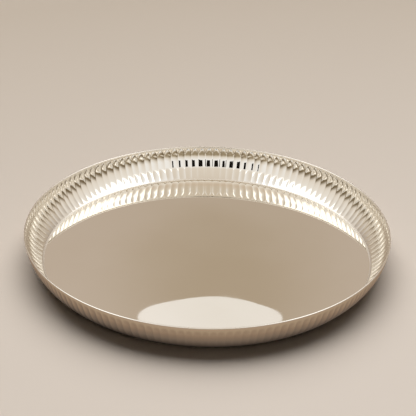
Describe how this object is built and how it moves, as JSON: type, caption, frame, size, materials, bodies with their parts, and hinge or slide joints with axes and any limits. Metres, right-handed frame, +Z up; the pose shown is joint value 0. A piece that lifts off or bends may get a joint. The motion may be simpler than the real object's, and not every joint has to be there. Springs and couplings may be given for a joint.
{
  "type": "thali plate",
  "caption": "Shallow round metal thali plate with a flat mirror-polished floor, a flaring wall of fine upright ribs with rounded ends and a thin wire rim, for serving food.",
  "frame": {"origin": "centre of the flat underside that the plate stands on", "axes": "+Z up along the axis of the plate; the plate is round, so +X and +Y are any two level directions"},
  "size_m": [0.3, 0.3, 0.0262],
  "materials": {
    "polished_sheet": "mirror-polished",
    "polished_wire": "mirror-polished"
  },
  "bodies": {
    "root": {"dish": "polished_sheet", "rim_wire": "polished_wire"}
  },
  "joints": []
}
